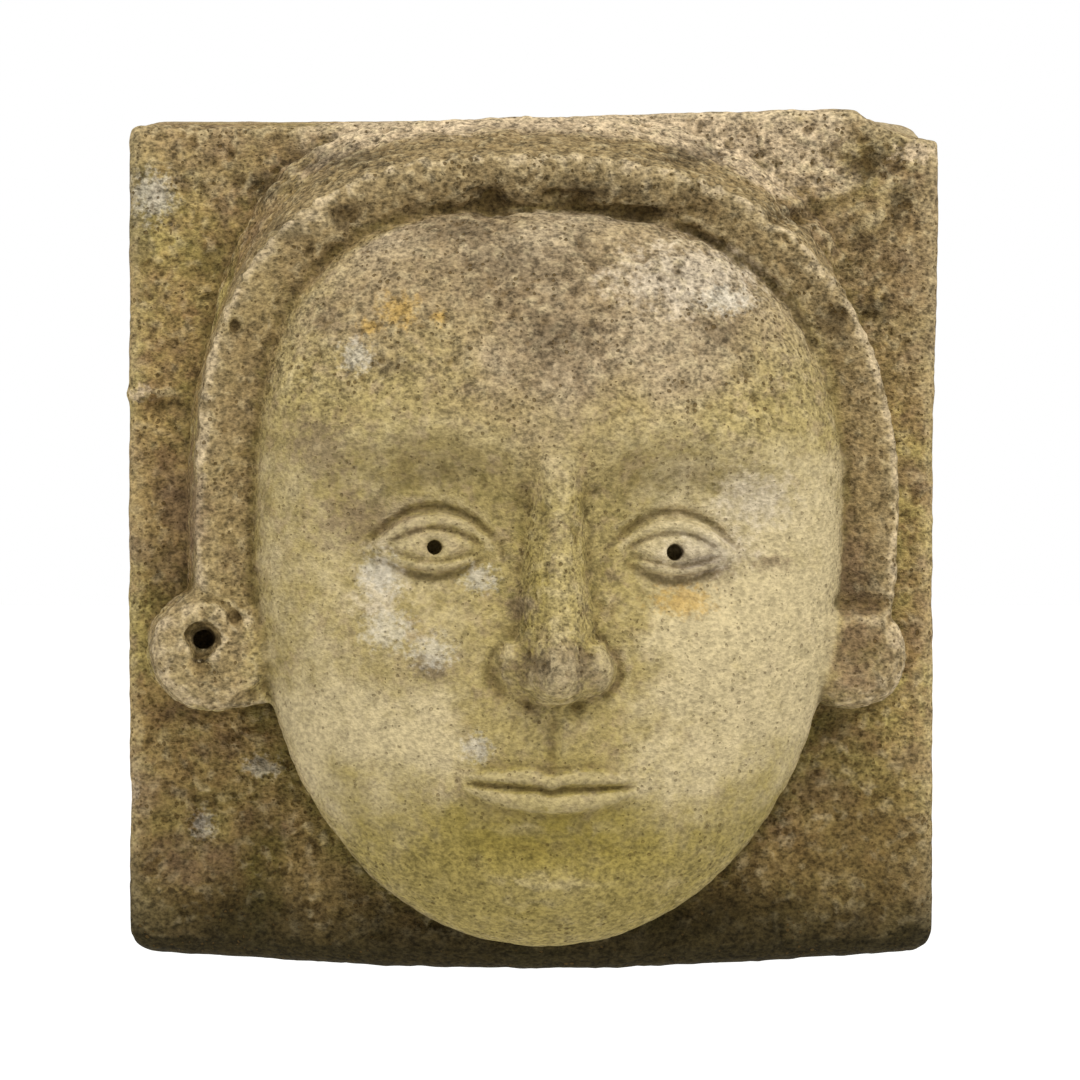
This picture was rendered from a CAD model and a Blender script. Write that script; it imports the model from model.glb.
# %% [markdown]
# # A weathered stone head corbel
# A corbel is a stone that stands out of a wall and carries something. This one is a squared block
# of limestone with a head carved on its front, framed by a roll of hair with a curl at each jaw.
# The CAD solid has every form that shows from a step away, in flat facets. A real stone has no
# facets. It has stood in the rain for centuries: soft arrises, pits, chips, lichen and grime.
# So this lesson works as a carver would finish the block: take the rough form, dress its surface,
# let the weather at it, and only then colour it.

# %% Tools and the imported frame
import math

import bpy
import numpy as np
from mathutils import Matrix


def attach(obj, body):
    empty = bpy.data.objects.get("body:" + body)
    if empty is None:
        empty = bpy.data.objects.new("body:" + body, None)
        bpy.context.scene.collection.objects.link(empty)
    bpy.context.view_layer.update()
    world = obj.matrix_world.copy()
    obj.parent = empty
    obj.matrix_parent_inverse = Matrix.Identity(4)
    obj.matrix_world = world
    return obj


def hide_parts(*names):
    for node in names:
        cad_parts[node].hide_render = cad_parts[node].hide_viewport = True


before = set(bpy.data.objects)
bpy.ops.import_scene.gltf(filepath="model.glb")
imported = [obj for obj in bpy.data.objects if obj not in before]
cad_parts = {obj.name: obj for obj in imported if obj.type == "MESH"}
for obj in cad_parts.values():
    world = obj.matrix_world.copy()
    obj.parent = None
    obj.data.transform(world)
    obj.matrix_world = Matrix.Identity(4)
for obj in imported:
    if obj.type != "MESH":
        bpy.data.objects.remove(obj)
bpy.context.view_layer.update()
scene = bpy.context.scene
chance = np.random.default_rng(11)

# %% [markdown]
# ## The named sizes
# Lengths are millimetres, and a point is turned into metres only when it becomes a vertex.
# The head is turned and tilted on its block, so places on it are given in the head's own
# coordinates and carried into the frame. This repeats the move that the CAD solid was given.

# %% Named sizes
MM = 0.001
BLOCK_HALF_WIDTH = 150
BLOCK_TOP = 157
BLOCK_DEPTH = 120
HEAD_X = 4
HEAD_TURN = math.radians(4)
HEAD_TILT = math.radians(1.2)
FACE_HALF_WIDTH = 108
FACE_HEIGHT = 269
CHIN = -152
HAIRLINE = CHIN + FACE_HEIGHT
HAIR_RISE = 21
THIRD = FACE_HEIGHT / 3
EYE_X = 2 * FACE_HALF_WIDTH / 5
EYE_Z = (HAIRLINE + HAIR_RISE + CHIN) / 2
TEMPLE_Z = EYE_Z + 0.12 * THIRD
NOSE_BASE = CHIN + THIRD
MOUTH_Z = NOSE_BASE - THIRD / 3
CURL_X = -122
CURL_Z = MOUTH_Z + 0.56 * THIRD - 4
CURL_FRONT = 50.4
CURL_HOLE = (CURL_X - 2.5, CURL_Z + 4)
RIGHT_CURL_X = 112.5
RIGHT_CURL_Z = CURL_Z + 3
LEFT_DISH_RADIUS = 12.6
RIGHT_DISH_RADIUS = 9
MOUTH_HALF_WIDTH = 32.5
CAMERA_DISTANCE = 1900
CAMERA_X = 3.5
CAMERA_Z = -3.5
SKIN_PITCH = 1.3
TRIANGLES = 190_000


def on_head(x, depth, z):
    """A point given in the head's own coordinates, carried into the frame."""
    tilted_x = x * math.cos(HEAD_TILT) + z * math.sin(HEAD_TILT)
    tilted_z = z * math.cos(HEAD_TILT) - x * math.sin(HEAD_TILT)
    turned_x = tilted_x * math.cos(HEAD_TURN) + depth * math.sin(HEAD_TURN)
    turned_y = tilted_x * math.sin(HEAD_TURN) - depth * math.cos(HEAD_TURN)
    return np.array([turned_x + HEAD_X, turned_y - BLOCK_DEPTH, tilted_z])


def to_head(points):
    """Points of the frame in the head's own coordinates: across, forward from the ground, up."""
    x = points[:, 0] - HEAD_X
    y = points[:, 1] + BLOCK_DEPTH
    across = x * math.cos(HEAD_TURN) + y * math.sin(HEAD_TURN)
    forward = x * math.sin(HEAD_TURN) - y * math.cos(HEAD_TURN)
    up = points[:, 2] * math.cos(HEAD_TILT) + across * math.sin(HEAD_TILT)
    across = across * math.cos(HEAD_TILT) - points[:, 2] * math.sin(HEAD_TILT)
    return across, forward, up


def from_the_front(points):
    """Where points fall on the plane of the block's front, looked at from two metres away."""
    nearer = CAMERA_DISTANCE / (CAMERA_DISTANCE + BLOCK_DEPTH + points[:, 1])
    return CAMERA_X + (points[:, 0] - CAMERA_X) * nearer, CAMERA_Z + (points[:, 2] - CAMERA_Z) * nearer


# %% [markdown]
# ## A fine skin over the solid
# A voxel remesh lays an even net of small squares over the solid. It could also be done by
# subdividing the facets, but their long thin triangles would give a very uneven net, and an even
# one is what the carving below needs. The pitch is a little finer than the smallest pit.

# %% The fine skin


def baked(piece):
    """Replaces the piece's mesh with what its modifiers make of it."""
    graph = bpy.context.evaluated_depsgraph_get()
    made = bpy.data.meshes.new_from_object(piece.evaluated_get(graph))
    piece.modifiers.clear()
    piece.data = made
    return made


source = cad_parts["head_corbel"]
stone = bpy.data.objects.new("corbel_stone", source.data.copy())
scene.collection.objects.link(stone)
stone.data.materials.clear()
weld = stone.modifiers.new("weld", "WELD")
weld.merge_threshold = 0.005 * MM
skin = stone.modifiers.new("skin", "REMESH")
skin.mode = "VOXEL"
skin.voxel_size = SKIN_PITCH * MM
mesh = baked(stone)


def points_of(mesh):
    """The mesh's vertices in millimetres."""
    flat = np.empty(3 * len(mesh.vertices))
    mesh.vertices.foreach_get("co", flat)
    return flat.reshape(-1, 3) / MM


def normals_of(mesh):
    """The mesh's vertex normals."""
    flat = np.empty(3 * len(mesh.vertices))
    mesh.vertex_normals.foreach_get("vector", flat)
    return flat.reshape(-1, 3)


def move_to(mesh, points):
    """Moves the mesh's vertices to these points in millimetres."""
    mesh.vertices.foreach_set("co", (points * MM).ravel())
    mesh.update()


print("skin vertices", len(mesh.vertices))

# %% [markdown]
# ## Rubbing the facets down
# Each vertex moves part of the way to the middle of its neighbours, again and again, as a
# rubbing stone would wear the surface. The eyes, the lips and the drilled holes are narrow,
# so they are rubbed far less. After each step inwards a weaker one goes back outwards, which
# keeps the stone from shrinking.

# %% Rubbing down
RUB_ROUNDS = 11
RUB_IN = 0.62
RUB_OUT = 0.3
MOST_SPARED = 0.92


def neighbours_of(mesh):
    """The two ends of every edge, and how many edges meet at each vertex."""
    ends = np.empty(2 * len(mesh.edges), np.int64)
    mesh.edges.foreach_get("vertices", ends)
    ends = ends.reshape(-1, 2)
    return ends, np.bincount(ends.ravel(), minlength=len(mesh.vertices))


def neighbour_mean(points, ends, valence):
    """For every vertex, the middle of its neighbours."""
    a, b = ends.T
    total = np.empty_like(points)
    for axis in range(3):
        values = points[:, axis]
        total[:, axis] = np.bincount(a, values[b], len(points))
        total[:, axis] += np.bincount(b, values[a], len(points))
    return total / np.maximum(valence, 1)[:, None]


def bell(distance, width):
    """One at no distance, falling smoothly to nothing over about twice the width."""
    return np.exp(-((distance / width) ** 2))


def ramp(value, start, end):
    """Zero before start, one after end, and smooth between."""
    share = np.clip((value - start) / (end - start), 0, 1)
    return share * share * (3 - 2 * share)


points = points_of(mesh)
ends, valence = neighbours_of(mesh)
across, forward, up = to_head(points)
in_front = ramp(forward, 5, 25)
eyes = sum(bell(np.hypot((across - s * EYE_X) / 1.5, up - EYE_Z), 13) for s in (-1, 1))
mouth = bell(np.hypot(across / 2.2, up - MOUTH_Z), 14)
nose = bell(np.hypot(across / 1.2, up - NOSE_BASE - 12), 16)
curls = bell(np.hypot(across - CURL_HOLE[0], up - CURL_HOLE[1]), 9)
keep = in_front * np.clip(1.6 * eyes + 1.4 * mouth + 0.8 * nose + 0.9 * curls, 0, 1)
strength = (1 - MOST_SPARED * keep)[:, None]
for _ in range(RUB_ROUNDS):
    points += RUB_IN * strength * (neighbour_mean(points, ends, valence) - points)
    points -= RUB_OUT * strength * (neighbour_mean(points, ends, valence) - points)
move_to(mesh, points)
print("rubbed down")

# %% [markdown]
# Each curl has a shallow dish in the solid. On the worn stone its front is nearly flat, with the
# drilled hole in the left one and the last of a spiral groove above it.

# %% The curls' flat fronts
LEFT_SHARE_FILLED = 0.8
RIGHT_SHARE_FILLED = 0.95
DISHES = (
    (CURL_X, CURL_Z, LEFT_DISH_RADIUS, LEFT_SHARE_FILLED),
    (RIGHT_CURL_X, RIGHT_CURL_Z, RIGHT_DISH_RADIUS, RIGHT_SHARE_FILLED),
)
across, forward, up = to_head(points)
from_hole = np.hypot(across - CURL_HOLE[0], up - CURL_HOLE[1])
outward = on_head(0, 1, 0) - on_head(0, 0, 0)
for curl_x, curl_z, dish_radius, share in DISHES:
    from_middle = np.hypot(across - curl_x, up - curl_z)
    in_dish = ramp(dish_radius + 1.4 - from_middle, 0, 2.5) * ramp(from_hole, 4.4, 6.5)
    in_dish *= forward > 40
    fill = share * in_dish * np.clip(CURL_FRONT - forward, 0, None)
    points += fill[:, None] * outward
    print("dish filled by up to", round(float(fill.max()), 1), "mm")
move_to(mesh, points)

# %% [markdown]
# ## Lines cut with the chisel's corner
# The last thing a carver does is to sharpen the lines: under the hair, round the lids, between
# the lips. Each line is a row of places in the head's coordinates, worked out from the sizes,
# and everything near it is pushed straight back. A line could also be cut with a thin solid, but
# a pushed line fades out at its ends as a chisel's does.

# %% Cutting a line
CARVED_FROM = 22


def cut_line(points, line, width, depth):
    """Pushes back what lies near a line of (across, up, share of the depth) on the head."""
    across, forward, up = to_head(points)
    line = np.asarray(line, float)
    reach = 3 * width
    low = line[:, :2].min(0) - reach
    high = line[:, :2].max(0) + reach
    near = (across > low[0]) & (across < high[0]) & (up > low[1]) & (up < high[1])
    near &= forward > CARVED_FROM
    spots = np.stack([across[near], up[near]], axis=1)
    gaps = np.linalg.norm(spots[:, None, :] - line[None, :, :2], axis=2)
    closest = gaps.argmin(1)
    press = depth * line[closest, 2] * bell(gaps.min(1), width)
    back = on_head(0, -1, 0) - on_head(0, 0, 0)
    points[near] += press[:, None] * back


def lid_line(side, rise, half, lift=0.0):
    """A lid's arc over an eye, as a line that fades at its two corners."""
    t = np.linspace(-1, 1, 60)
    up = EYE_Z + lift + rise * (1 - t**2)
    return np.stack([side * EYE_X + half * t, up, np.clip(4 * (1 - np.abs(t)), 0, 1)], axis=1)


def half_width(up):
    """Half the face's width at this height: a broad arch above the temples, an egg's taper below."""
    above = np.clip((up - TEMPLE_Z) / (HAIRLINE - TEMPLE_Z), 0, 1)
    below = np.clip((TEMPLE_Z - up) / (TEMPLE_Z - CHIN), 0, 1)
    return FACE_HALF_WIDTH * (1 - above**2.7) ** (1 / 2.7) * (1 - below**2.3) ** 0.5


def crease(count=400):
    """The line under the roll, from temple to temple, deepest at the crown and never even."""
    across = np.linspace(-100, 100, count)
    square = np.where(across < 0, 3, 2.4)
    out = (np.abs(across) / FACE_HALF_WIDTH) ** square
    up = TEMPLE_Z + (HAIRLINE - TEMPLE_Z) * (1 - out) ** (1 / square)
    uneven = 0.55 + 0.45 * np.sin(across * 0.21) * np.sin(across * 0.067 + 1)
    uneven *= 0.3 + 0.7 * ramp(across, -60, -10)
    return np.stack([across, up + 0.8, uneven * ramp(up, 55, 105)], axis=1)


def mouth_line():
    """The line between the lips, with the dip of the upper lip in its middle."""
    t = np.linspace(-1, 1, 80)
    up = MOUTH_Z + 1.6 * t**2 - 1.1 * bell(t * 32, 3.6)
    return np.stack([MOUTH_HALF_WIDTH * t, up, np.clip(6 * (1 - np.abs(t)), 0, 1)], axis=1)


def wing_line(side):
    """The groove behind one wing of the nose."""
    turn = np.linspace(0.5, 2.6, 30)
    across = side * (15 + 8.5 * np.sin(turn))
    up = NOSE_BASE + 12 - 9 * np.cos(turn)
    return np.stack([across, up, np.ones(30)], axis=1)


def lip_groove():
    """The short hollow between the nose and the upper lip."""
    down = 10 * np.linspace(0, 1, 12)
    return np.stack([np.zeros(12), NOSE_BASE - 8 - down, np.ones(12)], axis=1)


def spiral_line():
    """What is left of the spiral on the left curl, winding in from its rim."""
    turn = np.radians(np.linspace(107, 35, 50))
    reach = np.linspace(20.5, 12.4, 50)
    share = np.sin(np.linspace(0.3, 2.9, 50))
    return np.stack([CURL_X + reach * np.cos(turn), CURL_Z + reach * np.sin(turn), share], axis=1)


# %% [markdown]
# Each row below is a line, how wide it is cut and how deep, both in millimetres. The wing of the
# nose at the viewer's left is worn, so its groove is shallower.

# %% Cutting them all
LINES = [(crease(), 1.9, 5.0), (mouth_line(), 1.5, 2.6)]
for side, wing_depth in ((-1, 0.9), (1, 2.0)):
    LINES += [
        (lid_line(side, 14.0, 24, 0.6), 1.6, 2.6),
        (lid_line(side, 6.6, 18.5), 1.2, 1.6),
        (lid_line(side, -4.6, 18.5), 1.1, 1.3),
        (lid_line(side, -10.0, 20, -0.5), 2.0, 1.4),
        (wing_line(side), 1.7, wing_depth),
        ([(side * 8.5, NOSE_BASE + 1, 1)], 3.2, 4.0),
    ]
LINES += [(spiral_line(), 1.5, 2.0), (lip_groove(), 2.6, 1.2)]
for line, width, depth in LINES:
    cut_line(points, line, width, depth)
move_to(mesh, points)
print("lines cut")

# %% [markdown]
# ## Noise for the weather
# Rain and frost work at every size at once: broad hollows, then lumps, then grain. One function
# makes smooth bumps of a chosen size from a fixed block of random numbers, and the sizes are
# added together. It is the same idea as a noise texture, but here it moves the stone itself.

# %% Noise
lattice = chance.random((64, 64, 64))


def bumps(points, size, turn=0.0):
    """Smooth noise from -1 to 1 with bumps about this many millimetres across."""
    c, s = math.cos(0.7 + turn), math.sin(0.7 + turn)
    turned = points @ np.array([[c, s, 0], [-s * c, c * c, s], [s * s, -s * c, c]])
    spot = turned / size + 17.3 * turn
    cell = np.floor(spot).astype(np.int64)
    near = spot - cell
    near = near * near * (3 - 2 * near)
    total = np.zeros(len(points))
    for corner in np.ndindex(2, 2, 2):
        share = np.prod(np.where(corner, near, 1 - near), axis=1)
        i, j, k = ((cell + corner) % 64).T
        total += share * lattice[i, j, k]
    return 2 * total - 1


# %% [markdown]
# ## Where the stone is rough
# The cheeks and chin are the smoothest. The forehead, the nose and the hair face the rain and
# are rough, and the ground beside the head was never finely dressed. The back and the top are
# beds, so they stay flat. Each of these places is a number from 0 to 1 at every vertex.

# %% Places on the stone


def places(points):
    """Named shares of the surface, each from 0 to 1."""
    across, forward, up = to_head(points)
    half = half_width(up)
    face = ramp(forward, 30, 38) * ramp(half - np.abs(across), -3, 3)
    hair = ramp(forward, 12, 30) * (1 - face) * ramp(up, -70, -64)
    nose = face * bell(np.hypot(across, (up + 24) / 2.2), 22)
    brow = face * ramp(up + 12 * bumps(points, 30, 2.7), 22, 62)
    front = ramp(-points[:, 1], 90, 116)
    ground = front * (1 - face) * (1 - hair) * ramp(24 - forward, 0, 10)
    bed = 1 - ramp(-points[:, 1], 2, 9)
    bed_edge = -points[:, 1] + 12 * bumps(points, 18, 3.1)
    top_bed = ramp(points[:, 2], 150, 155) * (1 - ramp(bed_edge, 40, 66))
    return {
        "face": face,
        "hair": hair,
        "nose": nose,
        "brow": brow,
        "ground": ground,
        "bed": np.maximum(bed, top_bed),
        "battered": front * (1 - face) * ramp(points[:, 2] + 0.25 * points[:, 0], 60, 130),
        "calm": face * (1 - nose) * (1 - brow),
    }


normals = normals_of(mesh)
where = places(points)
side_gap = BLOCK_HALF_WIDTH - np.abs(points[:, 0])
edge_gap = np.minimum(side_gap, BLOCK_TOP - np.abs(points[:, 2]))
firm = 0.4 + 0.6 * ramp(edge_gap, 1, 10)
rough = firm * (1 - 0.72 * where["calm"] - 0.85 * where["bed"])
fine_work = 1 - 0.75 * np.clip(eyes + mouth, 0, 1) * where["face"]
print({name: round(float(share.mean()), 3) for name, share in where.items()})

# %% [markdown]
# Each row of a list below is the width of the bumps and their height, both in millimetres, and a
# turn that keeps one noise from lying on top of another.

# %% Broad and fine weathering
BROAD = ((55, 0.7, 0.1), (24, 0.5, 0.2))
LUMPS = ((11, 0.5, 0.3), (6, 0.45, 0.4))
GRAIN = ((3.6, 0.45, 0.5), (2.6, 0.3, 0.6))


def weather(points, rows):
    """Bumps of several sizes, added together."""
    return sum(height * bumps(points, size, turn) for size, height, turn in rows)


broad = weather(points, BROAD)
lumps = weather(points, LUMPS)
grain = weather(points, GRAIN)
lift = firm * broad * (0.35 + 0.65 * where["ground"]) * (1 - where["bed"])
coarse_share = 1 - 0.35 * where["hair"] + 0.6 * where["battered"] * (1 - where["hair"])
lift += rough * fine_work * (lumps * coarse_share + grain * (1 + 0.4 * where["battered"]))
points += normals * lift[:, None]
move_to(mesh, points)

# %% [markdown]
# ## The damage that has a place
# Some damage shows in the photograph as a thing of its own, so each one has a name here: where
# it is on the front, how wide and high it is, and how deep. A negative depth is a lump that was
# left standing.

# %% Named damage
DAMAGE = {
    "slot outside the roll": (97, 117, 9, 3, 4.0),
    "pit at the left edge": (-136, 47, 4, 3, 1.6),
    "ledge at the left edge": (-143, 51, 15, 2.5, -1.6),
    "hollow under that ledge": (-142, 44, 8, 4, 1.2),
    "dark hole in the roll": (-15, 123, 6, 5, 4.4),
    "gap in the crease at the crown": (9, 125, 5, 2.5, 3.4),
    "gap right of the crown": (17, 124, 6, 3, 3.4),
    "gap under the right of the crown": (41, 118, 13, 2.5, 3.0),
    "gap at the left of the roll": (-69, 117, 6, 5, 2.8),
    "first pit on the left shoulder": (-82, 104, 1.8, 2, 2.4),
    "second pit on the left shoulder": (-110, 76, 1.6, 2.4, 2.6),
    "pit on the right side of the roll": (113, 79, 5, 6, 2.0),
    "lump at the crown": (1, 132, 10, 6, -2.0),
    "lump right of the crown": (30, 131, 9, 6, -1.5),
    "lump on the left shoulder of the roll": (-76, 114, 9, 7, -1.6),
    "lump left of the crown": (-38, 129, 10, 6, -1.4),
    "dent in the roll, upper right": (62, 119, 8, 5, 2.2),
    "notch over the right curl": (124, -27, 10, 3.5, 2.2),
    "dent in the right curl": (122, -41, 6, 6, 1.4),
    "second pit of the left curl": (-110, -32, 2.2, 2.4, 3.2),
    "worn lip of the drilled hole": (-125, -38, 4, 4, 2.6),
    "tail of the drilled hole": (-123, -48, 2.6, 5, 4.0),
    "flat on the left curl": (-136, -26, 9, 6, 2.0),
    "chip at the lower left edge": (-148, -97, 5, 6, 3.0),
    "hollow under the broken corner": (126, 136, 9, 5, 2.4),
    "step at the top edge": (-80, 154, 5, 6, 2.0),
    "worn forehead": (28, 88, 26, 13, 1.6),
    "lost side of the nose": (-10, -54, 7, 9, 2.6),
}


def dent(points, normals, x, z, wide, high, depth):
    """Presses a smooth hollow into whatever faces forward at this place."""
    seen_x, seen_z = from_the_front(points)
    distance = np.hypot((seen_x - x) / wide, (seen_z - z) / high)
    facing = ramp(-normals[:, 1], -0.2, 0.5) * ramp(-points[:, 1], 100, 112)
    return -normals * (depth * facing * bell(distance, 1.0))[:, None]


normals = normals_of(mesh)
for x, z, wide, high, depth in DAMAGE.values():
    points += dent(points, normals, x, z, wide, high, depth)
move_to(mesh, points)
print("named damage", len(DAMAGE))

# %% [markdown]
# ## The pits
# Shells and soft grains have washed out of the limestone and left pits. Where a noise stands
# above a threshold the stone is pressed in, which gives pits of uneven outline. A broader noise
# moves the threshold, so they come in crowds. Round bowls scattered by chance are the other way,
# but they look drilled.

# %% Pits
COARSE_PIT = 4.4
SMALL_PIT = 2.9
COARSE_DEPTH = 1.1
SMALL_DEPTH = 0.9
normals = normals_of(mesh)
where = places(points)
crowd = 0.5 + 0.5 * bumps(points, 21, 0.9)
open_to_rain = where["nose"] + where["brow"] + where["hair"] + 0.8 * where["ground"]
wanted = 0.3 + 0.7 * np.clip(open_to_rain, 0, 1)
wanted *= (1 + 0.5 * where["battered"]) * (1 - 0.35 * where["hair"]) * (1 - 0.3 * where["brow"])
wanted *= firm * fine_work * (1 - where["bed"]) * ramp(-points[:, 1], 10, 60)
threshold = 0.6 - 0.22 * crowd * wanted
coarse = ramp(bumps(points, COARSE_PIT, 1.1), threshold + 0.06, threshold + 0.4)
small = ramp(bumps(points, SMALL_PIT, 1.3), threshold, threshold + 0.3)
press = wanted * (COARSE_DEPTH * coarse + SMALL_DEPTH * small)
points -= normals * press[:, None]
move_to(mesh, points)
print("share of the surface in pits", round(float((press > 0.3).mean()), 3))

# %% [markdown]
# ## Fewer triangles where nothing happens
# The back and the sides are plain, so their small squares can be merged into larger triangles.
# Decimation takes away the edges that matter least, so it keeps the pits and lids by itself.

# %% Thinning
lean = stone.modifiers.new("thin", "DECIMATE")
triangle_count = 2 * len(mesh.polygons)
lean.ratio = min(1.0, TRIANGLES / triangle_count)
lean.use_collapse_triangulate = True
mesh = baked(stone)
mesh.shade_smooth()
print("triangles", triangle_count, "->", len(mesh.polygons))

# %% [markdown]
# ## What the colour will need to know
# Dirt gathers in hollows, algae grows where water runs, lichen grows in its own places. These
# are worked out here at every vertex and stored on the mesh, and the material only has to break
# up their edges. Another way is to place them in the shader with many distance nodes, but then
# the hollows would still be missing.

# %% Hollows and edges
points = points_of(mesh)
normals = normals_of(mesh)
ends, valence = neighbours_of(mesh)


def relaxed(points, share, rounds):
    """The surface smoothed by so many steps towards the middles of the neighbours."""
    for _ in range(rounds):
        points = points + share * (neighbour_mean(points, ends, valence) - points)
    return points


def depth_below_surface(smooth):
    """How far each point lies below this smoother surface, in millimetres."""
    return np.einsum("ij,ij->i", smooth - points, normals)


smooth = relaxed(points, 0.7, 6)
hollow_fine = depth_below_surface(smooth)
smooth = relaxed(smooth, 0.8, 14)
hollow_middle = depth_below_surface(smooth)
smooth = relaxed(smooth, 0.8, 46)
hollow_wide = depth_below_surface(smooth)
where = places(points)
print("hollow, mm", np.percentile(hollow_middle, [1, 5, 25, 75, 95, 99]).round(2))

# %% [markdown]
# Each row in the lists is one patch on the front as the camera sees it: its place across and up
# from the middle of the block, and half its width and height, all in millimetres.

# %% Places of grime, algae and lichen
GREY_LICHEN = [
    (-56, -16, 7, 8),
    (-53, -37, 9, 7),
    (-37, -45, 8, 6),
    (-19, -18, 6, 5),
    (-20, -81, 5, 5),
    (-100, -88, 6, 4),
    (-122, -110, 4, 5),
    (-141, 125, 8, 9),
    (72, 86, 10, 5),
    (-65, 65, 6, 6),
]
OCHRE_LICHEN = [(-49, 82, 7, 6), (-34, 80, 4, 3), (57, -26, 12, 6), (-60, 76, 4, 3)]
DARK_PATCHES = [
    (-15, 123, 9, 7),
    (-69, 117, 9, 7),
    (17, 124, 11, 5),
    (113, 77, 8, 10),
    (122, -22, 9, 12),
    (24, 127, 24, 4),
    (41, 118, 14, 4),
    (-121, -40, 6, 5.5),
    (-123, -47, 3, 4),
    (-110, -32, 3, 3),
    (97, 118, 13, 5),
    (127, 136, 14, 7),
    (-82, 104, 2.5, 2.5),
    (-110, 76, 2.2, 3),
    (60, 140, 16, 5),
    (124, 108, 6, 5),
    (-72, 138, 20, 6),
    (-100, 128, 11, 7),
    (-90, 112, 8, 5),
    (139, 122, 7, 11),
    (128, 84, 8, 8),
]
HAZE = [
    (10, 70, 22, 17),
    (70, 73, 9, 7),
    (11, -51, 22, 9),
    (-4, -28, 6, 5),
    (-62, 4, 20, 10),
    (-36, -51, 9, 6),
    (62, -12, 14, 8),
    (88, -12, 9, 3),
    (-24, 112, 24, 7),
    (-4, 88, 20, 8),
    (-77, 78, 7, 6),
    (-78, 30, 12, 12),
    (0, 96, 34, 9),
]
CHALK = [(60, 94, 27, 13), (66, -8, 15, 8), (-56, -22, 9, 14), (84, 12, 14, 10)]
DUST = [
    (10, 72, 16, 9),
    (-26, 112, 16, 5),
    (-8, 101, 15, 6),
    (70, 73, 7, 5),
    (54, 95, 5, 4),
    (18, 108, 6, 8),
    (-36, -51, 8, 5),
    (10, -51, 17, 6),
    (-4, -28, 5, 4),
    (62, -12, 10, 5),
    (-52, 61, 9, 4),
]
BROWN_PATCHES = [
    (113, -43, 17, 17),
    (117, -57, 12, 6),
    (115, -8, 10, 14),
    (-127, -122, 16, 10),
    (-130, 10, 10, 16),
]
GOLDEN_PATCHES = [(-76, -126, 15, 11), (-142, 138, 9, 10), (-88, -96, 10, 8)]
FRESH_BREAKS = [(144, 141, 9, 4), (-148, -97, 3, 4), (-27, 150, 8, 3), (-146, 51, 4, 3)]
YELLOW_FILL = [(-97, -50, 9, 18), (109, -56, 8, 13)]
MOSS_PATCHES = [
    (-95, -118, 5, 10),
    (-101, -136, 6, 12),
    (-102, -126, 4, 24),
    (-92, -68, 8, 9),
    (112, -72, 9, 9),
    (-146, 118, 9, 22),
    (-120, 100, 9, 10),
    (124, -44, 9, 6),
]


def patches(points, listed):
    """The strongest of the listed patches at each point: one at its middle, nothing outside."""
    found = np.zeros(len(points))
    seen_x, seen_z = from_the_front(points)
    for x, z, wide, high in listed:
        distance = np.hypot((seen_x - x) / wide, (seen_z - z) / high)
        found = np.maximum(found, bell(distance, 1.0))
    return found * ramp(-points[:, 1], 95, 115)


across, forward, up = to_head(points)
ragged_up = up + 16 * bumps(points, 31, 1.7) + 7 * bumps(points, 9, 1.9)
depth_below = -points[:, 2] + 12 * bumps(points, 26, 2.1) + 6 * bumps(points, 8, 2.3)
depth_below += 0.02 * points[:, 0]
underside = ramp(-normals[:, 2], 0.35, 0.95)
base_depth = depth_below - 5 * ramp(np.abs(points[:, 0] - 20), 50, 130)
from_jaw = np.clip(np.abs(across) - half_width(up), 0, None)
beside_jaw = bell(from_jaw, 9) * ramp(-up, 48, 76) * where["ground"]
brow_rain = ramp(ragged_up + 22 * bell(across, 34), 30, 92) * (1 - 0.55 * ramp(np.abs(across), 62, 95))
slope = ramp(points[:, 2], 118, 132) * (1 - ramp(np.abs(points[:, 0] - 18), 75, 115))
slope *= 1 - where["hair"]
rough_share = 1 - where["calm"] * (1 - where["face"] * brow_rain) * ramp(-points[:, 1], 60, 112)
pale_side = 0.3 + 0.7 * np.maximum(ramp(across, -40, 60), ramp(-up, 44, 78))
pale_side *= 1 - 0.7 * ramp(up, 0, 40)
hidden = 1 - ramp(-points[:, 1], 60, 112)
chin_share = 0.4 * where["face"] * ramp(-up, 96, 120)
rough_share *= (0.8 + 0.2 * where["battered"]) * (1 - 0.35 * hidden)
foot = 0.95 * ramp(base_depth, 106, 156) + 1.6 * underside * ramp(depth_below, 90, 130)
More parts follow.
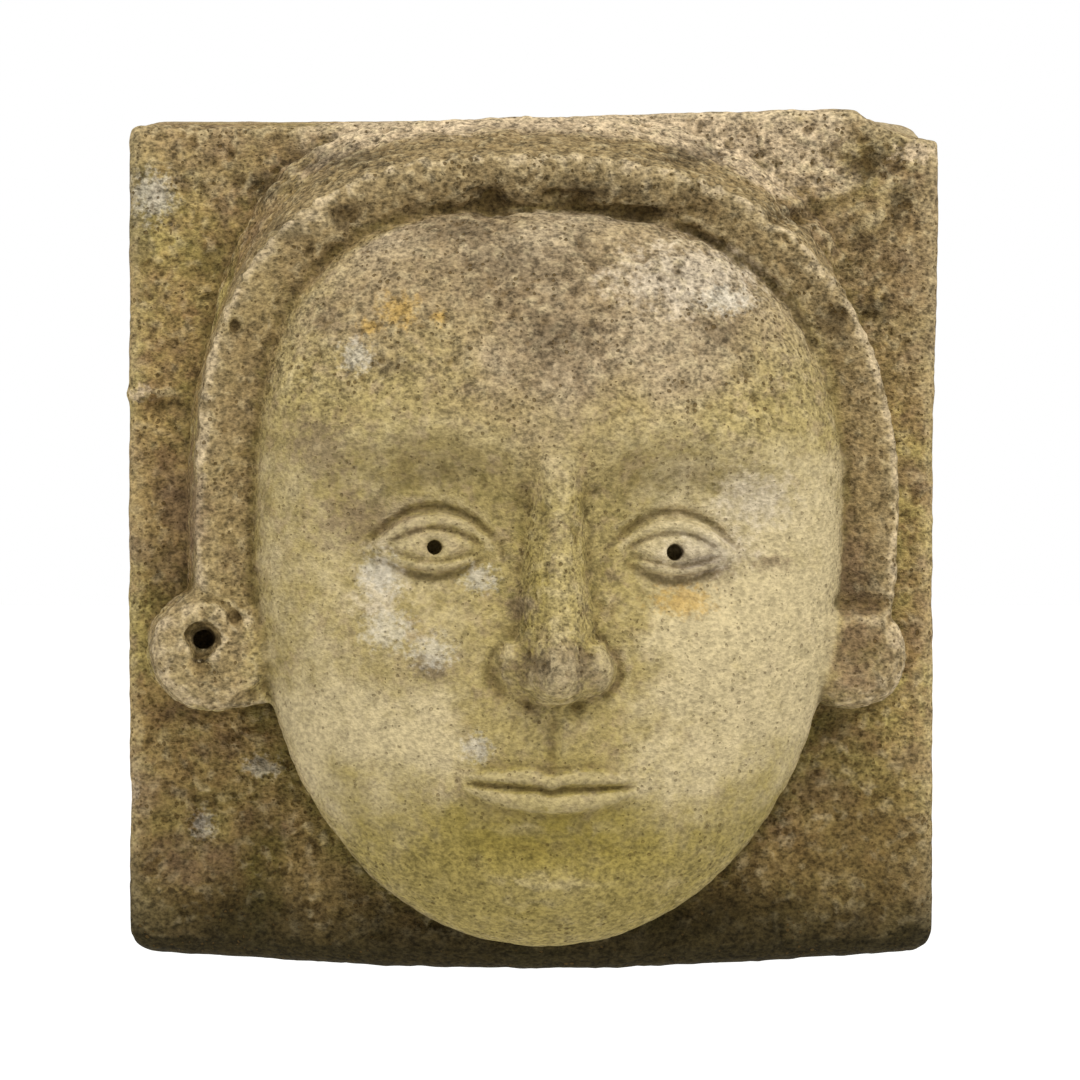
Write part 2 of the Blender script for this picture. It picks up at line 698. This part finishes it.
marks = {
    "hollow": np.clip(0.5 + 0.9 * hollow_fine, 0, 1),
    "recess": np.clip(0.16 * hollow_wide, 0, 1),
    "wear": np.clip(-0.16 * hollow_wide, 0, 1),
    "pale": where["calm"] * pale_side * ramp(np.abs(across), 14, 50) * ramp(up, -128, -80),
    "face": where["face"],
    "hair": where["hair"],
    "rain": where["face"] * brow_rain,
    "green": np.clip(where["face"] * ramp(-ragged_up, 66, 132) + 0.3 * where["nose"], 0, 1),
    "rough": np.maximum(rough_share, chin_share),
    "slope": slope * ramp(-points[:, 1], 70, 95),
    "battered": where["battered"],
    "fill": patches(points, YELLOW_FILL) * (1 - where["face"]),
    "haze": patches(points, HAZE),
    "moss": np.maximum(patches(points, MOSS_PATCHES), 0.85 * beside_jaw) * (1 - where["face"]),
    "fresh": patches(points, FRESH_BREAKS),
    "chalk": patches(points, CHALK),
    "dust": patches(points, DUST),
    "brown": patches(points, BROWN_PATCHES) * (1 - where["face"]),
    "golden": patches(points, GOLDEN_PATCHES) * (1 - where["face"]),
    "grime": where["ground"] * ramp(depth_below + 0.1 * points[:, 0], 66, 144),
    "base": np.clip(foot, 0, 1) * (1 - where["face"]),
    "lichen_grey": patches(points, GREY_LICHEN),
    "lichen_ochre": patches(points, OCHRE_LICHEN),
    "dark": patches(points, DARK_PATCHES),
    "arris": where["hair"] * ramp(-hollow_middle, 0.8, 1.8),
    "hidden": hidden,
}
for name, values in marks.items():
    layer = mesh.attributes.new(name, "FLOAT", "POINT")
    layer.data.foreach_set("value", values.astype(np.float32))
print("marks", sorted(marks))

# %% [markdown]
# ## Small tools for shader nodes
# A material is a graph, and a graph drawn by hand is hard to read as text. These short functions
# add a node, join sockets, do one step of arithmetic, and lay a colour over another by a mask.

# %% Node helpers


def add(tree, kind, **settings):
    """A new node of this kind. Socket values are given by name, other settings as attributes."""
    node = tree.nodes.new(kind)
    for name, value in settings.items():
        if hasattr(node, name):
            setattr(node, name, value)
        else:
            node.inputs[name.replace("_", " ")].default_value = value
    return node


def feed(tree, value, socket):
    """Joins a socket to this input, or sets the input to a plain value."""
    if isinstance(value, bpy.types.NodeSocket):
        tree.links.new(value, socket)
    else:
        socket.default_value = value


def over(tree, below, above, mask, way="MIX"):
    """The colour `above` laid over `below` where the mask says."""
    node = tree.nodes.new("ShaderNodeMix")
    node.data_type = "RGBA"
    node.blend_type = way
    feed(tree, mask, node.inputs["Factor"])
    feed(tree, below, node.inputs[6])
    feed(tree, above, node.inputs[7])
    return node.outputs[2]


def sums(tree, way, a, b):
    """One step of arithmetic between two values, kept between zero and one."""
    node = tree.nodes.new("ShaderNodeMath")
    node.operation = way
    node.use_clamp = True
    feed(tree, a, node.inputs[0])
    feed(tree, b, node.inputs[1])
    return node.outputs[0]


def blend(tree, first, second, share):
    """A value between two others."""
    node = tree.nodes.new("ShaderNodeMix")
    feed(tree, share, node.inputs[0])
    feed(tree, first, node.inputs[2])
    feed(tree, second, node.inputs[3])
    return node.outputs[0]


def span(tree, value, low, high, start=0.0, end=1.0):
    """A value between low and high, spread to run from start to end."""
    node = tree.nodes.new("ShaderNodeMapRange")
    feed(tree, value, node.inputs["Value"])
    for name, number in (("From Min", low), ("From Max", high), ("To Min", start), ("To Max", end)):
        node.inputs[name].default_value = number
    return node.outputs["Result"]


def new_group(name, inputs, outputs):
    """An empty node group with these sockets, and its two end nodes."""
    tree = bpy.data.node_groups.new(name, "ShaderNodeTree")
    for socket, kind in inputs:
        tree.interface.new_socket(socket, in_out="INPUT", socket_type=kind)
    for socket, kind in outputs:
        tree.interface.new_socket(socket, in_out="OUTPUT", socket_type=kind)
    return tree, tree.nodes.new("NodeGroupInput"), tree.nodes.new("NodeGroupOutput")


FLOAT = "NodeSocketFloat"
VECTOR = "NodeSocketVector"

# %% [markdown]
# ## One effect: a mask with a ragged edge
# Lichen and grime never end in a smooth edge. This group takes a soft mask, adds noise of a
# chosen size, and cuts the sum with a steep ramp, so the edge breaks into islands. It gives
# only a mask, so any material can lay any colour through it.

# %% The ragged mask group


def noise_of(tree, vector, size, detail=4.0, roughness=0.6):
    """A noise texture whose features are about this many millimetres across."""
    node = tree.nodes.new("ShaderNodeTexNoise")
    feed(tree, vector, node.inputs["Vector"])
    node.inputs["Scale"].default_value = 1 / (size * MM)
    node.inputs["Detail"].default_value = detail
    node.inputs["Roughness"].default_value = roughness
    return node.outputs["Fac"]


def ragged_mask_group():
    """Group: a soft mask in, an edge broken up by noise out."""
    sockets = [("Mask", FLOAT), ("Vector", VECTOR), ("Scale", FLOAT), ("Sharpness", FLOAT)]
    tree, start, end = new_group("Ragged mask", sockets, [("Mask", FLOAT)])
    texture = add(tree, "ShaderNodeTexNoise", Detail=5.0, Roughness=0.65)
    feed(tree, start.outputs["Vector"], texture.inputs["Vector"])
    feed(tree, start.outputs["Scale"], texture.inputs["Scale"])
    centred = add(tree, "ShaderNodeMath", operation="SUBTRACT")
    feed(tree, texture.outputs["Fac"], centred.inputs[0])
    centred.inputs[1].default_value = 0.5
    pushed = add(tree, "ShaderNodeMath", operation="MULTIPLY_ADD")
    feed(tree, centred.outputs[0], pushed.inputs[0])
    pushed.inputs[1].default_value = 2.6
    feed(tree, start.outputs["Mask"], pushed.inputs[2])
    lowered = add(tree, "ShaderNodeMath", operation="SUBTRACT")
    feed(tree, pushed.outputs[0], lowered.inputs[0])
    lowered.inputs[1].default_value = 0.5
    steep = add(tree, "ShaderNodeMath", operation="MULTIPLY_ADD", use_clamp=True)
    feed(tree, lowered.outputs[0], steep.inputs[0])
    feed(tree, start.outputs["Sharpness"], steep.inputs[1])
    steep.inputs[2].default_value = 0.5
    present = sums(tree, "MULTIPLY", steep.outputs[0], span(tree, start.outputs["Mask"], 0.02, 0.2))
    feed(tree, present, end.inputs["Mask"])
    return tree


def use_group(tree, group, **inputs):
    """A node that uses the group, with its inputs fed."""
    node = tree.nodes.new("ShaderNodeGroup")
    node.node_tree = group
    for name, value in inputs.items():
        feed(tree, value, node.inputs[name])
    return node


# %% [markdown]
# ## Another effect: the grain of limestone
# Close up, the stone is a paste of grains and small shells with holes between. The group gives
# a tone that runs from dark grains to light ones, a mask of the tiny holes, and a height for
# the bump, which stands for everything finer than the mesh. The sizes are millimetres again, and
# the squeeze flattens the sharp grain along the stone's bed.

# %% The grain group
SOFT_GRAIN = 5.0
SHARP_GRAIN = 1.75
BED_SQUEEZE = 1.35
HOLE_CELL = 2.3
WOBBLE_SIZE = 1.6
WOBBLE_REACH = 1.1
CROWD_SIZE = 15.0


def grain_group():
    """Group: tone, holes and height of the limestone's grain."""
    outputs = [("Tone", FLOAT), ("Holes", FLOAT), ("Height", FLOAT)]
    tree, start, end = new_group("Limestone grain", [("Vector", VECTOR), ("Roughness", FLOAT)], outputs)
    vector = start.outputs["Vector"]
    soft = noise_of(tree, vector, SOFT_GRAIN, 5.0, 0.7)
    bedded = add(tree, "ShaderNodeVectorMath", operation="MULTIPLY")
    feed(tree, vector, bedded.inputs[0])
    bedded.inputs[1].default_value = (1.0, 1.0, BED_SQUEEZE)
    sharp = noise_of(tree, bedded.outputs[0], SHARP_GRAIN, 1.8, 0.6)
    tone = sums(tree, "ADD", sums(tree, "MULTIPLY", soft, 0.45), sums(tree, "MULTIPLY", sharp, 0.55))
    wobble = add(tree, "ShaderNodeTexNoise", Scale=1 / (WOBBLE_SIZE * MM), Detail=1.0)
    feed(tree, vector, wobble.inputs["Vector"])
    shifted = add(tree, "ShaderNodeVectorMath", operation="MULTIPLY_ADD")
    feed(tree, wobble.outputs["Color"], shifted.inputs[0])
    shifted.inputs[1].default_value = 3 * (WOBBLE_REACH * MM,)
    feed(tree, vector, shifted.inputs[2])
    cells = add(tree, "ShaderNodeTexVoronoi", Scale=1 / (HOLE_CELL * MM))
    feed(tree, shifted.outputs[0], cells.inputs["Vector"])
    luck = add(tree, "ShaderNodeSeparateColor")
    feed(tree, cells.outputs["Color"], luck.inputs[0])
    crowd = span(tree, noise_of(tree, vector, CROWD_SIZE, 3.0, 0.6), 0.38, 0.6, 0.3, 1.2)
    hole_size = span(tree, start.outputs["Roughness"], 0.0, 1.0, 0.3, 0.36)
    widest = sums(tree, "MULTIPLY", crowd, hole_size)
    reach = sums(tree, "MULTIPLY", luck.outputs[0], widest)
    inside = sums(tree, "SUBTRACT", reach, cells.outputs["Distance"])
    holes = span(tree, inside, 0.0, 0.08)
    height = sums(tree, "SUBTRACT", tone, sums(tree, "MULTIPLY", holes, 0.35))
    feed(tree, tone, end.inputs["Tone"])
    feed(tree, holes, end.inputs["Holes"])
    feed(tree, height, end.inputs["Height"])
    return tree


# %% [markdown]
# ## The stone's colours
# They are named by what they are, from the body of the stone to what grows on it, and are laid
# on in the order in which they came: the stone, the weather, the algae, the grime, the lichens,
# the worn edges and fresh breaks, and last the damp at the foot of the stone.

# %% The palette
EARTH = (0.27, 0.185, 0.07, 1)
OLIVE_EARTH = (0.32, 0.255, 0.085, 1)
RUST_EARTH = (0.19, 0.115, 0.048, 1)
ROLL_BROWN = (0.225, 0.162, 0.075, 1)
SAND = (0.305, 0.238, 0.093, 1)
BONE = (0.50, 0.41, 0.235, 1)
ROSE_GREY = (0.275, 0.20, 0.112, 1)
DUSK = (0.185, 0.132, 0.072, 1)
DARK_DUST = (0.10, 0.072, 0.042, 1)
PALE_ROSE = (0.38, 0.30, 0.19, 1)
PALE_TAN = (0.50, 0.39, 0.25, 1)
OLIVE = (0.215, 0.166, 0.034, 1)
MOSS = (0.10, 0.083, 0.018, 1)
ROSE_BROWN = (0.165, 0.105, 0.058, 1)
UMBER = (0.085, 0.052, 0.016, 1)
GRIME_BROWN = (0.125, 0.082, 0.026, 1)
NIGHT_GREEN = (0.016, 0.0125, 0.004, 1)
SOOT = (0.04, 0.027, 0.014, 1)
CHALK_WHITE = (0.52, 0.45, 0.35, 1)
GREY_WHITE = (0.53, 0.49, 0.40, 1)
OCHRE = (0.42, 0.25, 0.045, 1)
CUT_STONE = (0.42, 0.345, 0.22, 1)


def mark(tree, name):
    """One of the shares stored on the mesh."""
    node = tree.nodes.new("ShaderNodeAttribute")
    node.attribute_name = name
    return node.outputs["Fac"]


# %% [markdown]
# Most layers are alike: a colour, the mark that places it, the size of its islands in
# millimetres, how sharp their edges are, a gain on the mark, and how much of the colour is laid
# on. So they are rows in a table, and one loop lays them. Rows further down lie on top. The two
# tones are what the darkest and the lightest grain do to the colour, on calm and on rough stone.

# %% The layers
ON_THE_GROUND = (
    (ROSE_GREY, "battered", 15, 1.2, 1.0, 0.55),
    (UMBER, "battered", 7, 1.8, 0.7, 0.3),
    (PALE_TAN, "slope", 8, 1.4, 1.0, 0.8),
)
BESIDE_THE_CURLS = ((SAND, "fill", 8, 1.2, 1.0, 0.85),)
PALE_CHEEKS = ((BONE, "pale", 16, 1.2, 1.0, 0.8),)
ON_THE_FACE = (
    (OLIVE, "green", 20, 1.2, 1.0, 0.88),
    (DUSK, "haze", 4, 1.5, 1.0, 0.75),
    (CHALK_WHITE, "chalk", 5, 1.5, 1.0, 0.5),
    (DARK_DUST, "dust", 3, 1.8, 1.0, 0.5),
)
OVER_ALL = (
    (CUT_STONE, "hidden", 34, 1.0, 0.65, 0.75),
    (MOSS, "recess", 7, 1.6, 1.0, 0.55),
    (GRIME_BROWN, "grime", 26, 0.9, 1.0, 0.8),
    (EARTH, "golden", 9, 1.3, 1.0, 0.6),
    (MOSS, "moss", 8, 1.2, 1.0, 0.6),
    (SOOT, "dark", 4, 2.4, 0.9, 0.6),
    (GREY_WHITE, "lichen_grey", 2.4, 1.7, 1.0, 0.52),
    (OCHRE, "lichen_ochre", 3, 1.8, 1.0, 0.55),
)
AFTER_THE_EDGES = (
    (ROSE_BROWN, "brown", 9, 1.2, 1.0, 0.65),
    (PALE_TAN, "fresh", 3, 2.0, 1.0, 0.75),
)
GRAIN_RANGE = (0.38, 0.62)
CALM_TONE = (0.69, 1.24)
ROUGH_TONE = (0.34, 1.57)
BUMP_HEIGHT = 1.8

# %% The stone material


def stone_material():
    """Weathered limestone, from the marks on the mesh and the two groups."""
    material = bpy.data.materials.new("weathered limestone")
    material.use_nodes = True
    tree = material.node_tree
    shader = tree.nodes["Principled BSDF"]
    where = add(tree, "ShaderNodeTexCoord").outputs["Object"]
    ragged = ragged_mask_group()
    rain = mark(tree, "rain")
    rough = mark(tree, "rough")
    hollow = mark(tree, "hollow")
    grain = use_group(tree, grain_group(), Vector=where, Roughness=rough)

    def some(mask, amount):
        return sums(tree, "MULTIPLY", mask, amount)

    def laid(colour, rows):
        for above, name, size, sharp, gain, amount in rows:
            soft = some(mark(tree, name), gain)
            scale = 1 / (size * MM)
            node = use_group(tree, ragged, Mask=soft, Vector=where, Scale=scale, Sharpness=sharp)
            colour = over(tree, colour, above, some(node.outputs["Mask"], amount))
        return colour

    def clouds(size, low, high):
        return span(tree, noise_of(tree, where, size, 3.0), low, high)

    broad = noise_of(tree, where, 34.0, 4.0, 0.62)
    small = noise_of(tree, where, 12.0, 4.0, 0.65)
    colour = over(tree, EARTH, OLIVE_EARTH, some(span(tree, broad, 0.46, 0.62), 0.8))
    colour = over(tree, colour, RUST_EARTH, some(span(tree, small, 0.5, 0.64), 0.75))
    colour = over(tree, colour, ROSE_BROWN, some(clouds(23.0, 0.5, 0.62), 0.6))
    colour = laid(colour, ON_THE_GROUND)
    colour = over(tree, colour, ROLL_BROWN, some(mark(tree, "hair"), 0.8))
    colour = laid(colour, BESIDE_THE_CURLS)

    skin = over(tree, SAND, ROSE_GREY, some(span(tree, small, 0.54, 0.7), 0.5))
    skin = over(tree, skin, ROSE_GREY, some(clouds(6.0, 0.5, 0.64), 0.35))
    skin = laid(skin, PALE_CHEEKS)
    skin = over(tree, skin, ROSE_GREY, some(rain, 0.85))
    skin = over(tree, skin, PALE_ROSE, some(some(span(tree, broad, 0.44, 0.6), rain), 0.7))
    skin = over(tree, skin, DUSK, some(some(clouds(8.0, 0.52, 0.66), rain), 0.5))
    skin = laid(skin, ON_THE_FACE)

    colour = over(tree, colour, skin, mark(tree, "face"))
    colour = laid(colour, OVER_ALL)
    colour = over(tree, colour, UMBER, some(span(tree, hollow, 0.55, 1.0), 0.55))
    crest = sums(tree, "MAXIMUM", span(tree, hollow, 0.42, 0.05), mark(tree, "wear"))
    colour = over(tree, colour, BONE, some(crest, 0.38))
    colour = over(tree, colour, PALE_TAN, some(mark(tree, "arris"), 0.5))
    colour = laid(colour, AFTER_THE_EDGES)
    colour = over(tree, colour, NIGHT_GREEN, some(mark(tree, "base"), 0.93))

    calm_tone = span(tree, grain.outputs["Tone"], *GRAIN_RANGE, *CALM_TONE)
    rough_tone = span(tree, grain.outputs["Tone"], *GRAIN_RANGE, *ROUGH_TONE)
    tone = blend(tree, calm_tone, rough_tone, rough)
    grey = add(tree, "ShaderNodeCombineColor")
    for channel in grey.inputs:
        feed(tree, tone, channel)
    colour = over(tree, colour, grey.outputs[0], 1.0, "MULTIPLY")
    hole_share = span(tree, rough, 0.0, 1.0, 0.4, 0.8)
    colour = over(tree, colour, UMBER, some(grain.outputs["Holes"], hole_share))
    bump = add(tree, "ShaderNodeBump", Strength=0.9, Distance=BUMP_HEIGHT * MM)
    feed(tree, grain.outputs["Height"], bump.inputs["Height"])
    feed(tree, colour, shader.inputs["Base Color"])
    feed(tree, bump.outputs["Normal"], shader.inputs["Normal"])
    shader.inputs["Roughness"].default_value = 0.95
    shader.inputs["Specular IOR Level"].default_value = 0.08
    return material


mesh.materials.append(stone_material())
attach(stone, "root")
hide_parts("head_corbel")
print("material", mesh.materials[0].name)

# %% [markdown]
# ## Floor, light and camera
# The photograph is flat and soft: an overcast sky on a stone cut out against white. A pale world
# does most of it, and one very wide sun from above the camera gives the forms their shade. The
# camera sees the world as plain white, but the stone gets a little less than that from it. The
# floor lies well below the corbel, because the wall and not the floor carries it.

# %% Floor


def plain(name, colour):
    """A matt material of one colour."""
    material = bpy.data.materials.new(name)
    material.use_nodes = True
    shader = material.node_tree.nodes["Principled BSDF"]
    shader.inputs["Base Color"].default_value = (*colour, 1)
    shader.inputs["Roughness"].default_value = 0.9
    return material


FLOOR_DROP = 0.42
FLOOR_SIZE = 60
half = FLOOR_SIZE / 2
corners = [(-half, -half), (half, -half), (half, half), (-half, half)]
floor_mesh = bpy.data.meshes.new("floor")
floor_mesh.from_pydata([(x, y, -FLOOR_DROP) for x, y in corners], [], [(0, 1, 2, 3)])
floor_mesh.materials.append(plain("pale floor", (0.86, 0.86, 0.86)))
floor = bpy.data.objects.new("floor", floor_mesh)
scene.collection.objects.link(floor)

# %% Light
SKY_STRENGTH = 0.72
SUN_STRENGTH = 2.6
SUN_WIDTH = 40
SUN_DOWN = 34
SUN_SIDEWAYS = 14
world = bpy.data.worlds.new("pale sky")
world.use_nodes = True
nodes, links = world.node_tree.nodes, world.node_tree.links
daylight = nodes["Background"]
daylight.inputs["Color"].default_value = (1, 0.99, 0.97, 1)
daylight.inputs["Strength"].default_value = SKY_STRENGTH
backdrop = nodes.new("ShaderNodeBackground")
backdrop.inputs["Color"].default_value = (1, 1, 1, 1)
seen = nodes.new("ShaderNodeLightPath")
either = nodes.new("ShaderNodeMixShader")
links.new(seen.outputs["Is Camera Ray"], either.inputs[0])
links.new(daylight.outputs[0], either.inputs[1])
links.new(backdrop.outputs[0], either.inputs[2])
links.new(either.outputs[0], nodes["World Output"].inputs["Surface"])
scene.world = world
wide_sun = bpy.data.lights.new("wide sun", "SUN")
wide_sun.energy = SUN_STRENGTH
wide_sun.angle = math.radians(SUN_WIDTH)
sun = bpy.data.objects.new("wide sun", wide_sun)
sun.rotation_euler = (math.radians(SUN_DOWN), math.radians(SUN_SIDEWAYS), 0)
scene.collection.objects.link(sun)
scene.view_settings.view_transform = "Standard"

# %% [markdown]
# The camera looks straight at the front from nearly two metres away, which is how flat the
# photograph's perspective is. The block's front is 300 mm wide and fills three quarters of the
# frame, and that fixes the lens once the distance is chosen.

# %% Camera
FRAME_WIDTH_AT_BLOCK = 402
SENSOR_WIDTH = 36
camera_data = bpy.data.cameras.new("camera")
camera_data.sensor_width = SENSOR_WIDTH
camera_data.lens = SENSOR_WIDTH * CAMERA_DISTANCE / FRAME_WIDTH_AT_BLOCK
camera = bpy.data.objects.new("camera", camera_data)
camera.location = (CAMERA_X * MM, -(BLOCK_DEPTH + CAMERA_DISTANCE) * MM, CAMERA_Z * MM)
camera.rotation_euler = (math.radians(90), 0, 0)
scene.collection.objects.link(camera)
scene.camera = camera
